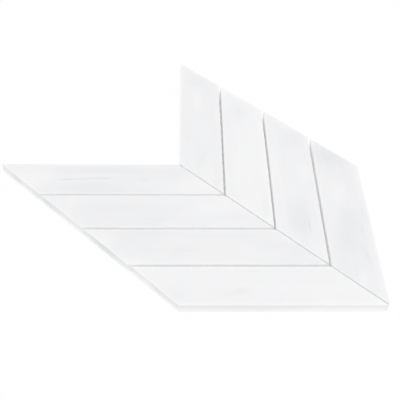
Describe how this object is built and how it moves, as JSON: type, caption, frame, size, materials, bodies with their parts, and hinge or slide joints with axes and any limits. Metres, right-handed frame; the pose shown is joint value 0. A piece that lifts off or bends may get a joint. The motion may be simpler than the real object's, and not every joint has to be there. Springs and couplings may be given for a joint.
{
  "type": "chevron wall tile",
  "caption": "Chevron mosaic wall tile: mitred white marble planks in two wings either side of a spine, joints left open for grout, held by a glass-fibre net on the back.",
  "frame": {"origin": "middle of the sheet's outline on its back, on the surface that it lies on", "axes": "+Z out of the polished face, Y along the spine with the chevron's point towards -Y, X from the left wing to the right wing"},
  "size_m": [0.2836, 0.4242, 0.01],
  "materials": {
    "marble": "honed white marble, faint cool grey clouds and hairline veins, sawn edges and back",
    "net": "off-white glass-fibre yarn, resin coated, matt"
  },
  "bodies": {
    "root": {"left_plank_1": "marble", "left_plank_2": "marble", "left_plank_3": "marble", "left_plank_4": "marble", "right_plank_1": "marble", "right_plank_2": "marble", "right_plank_3": "marble", "right_plank_4": "marble", "left_net": "net", "right_net": "net"}
  },
  "joints": []
}
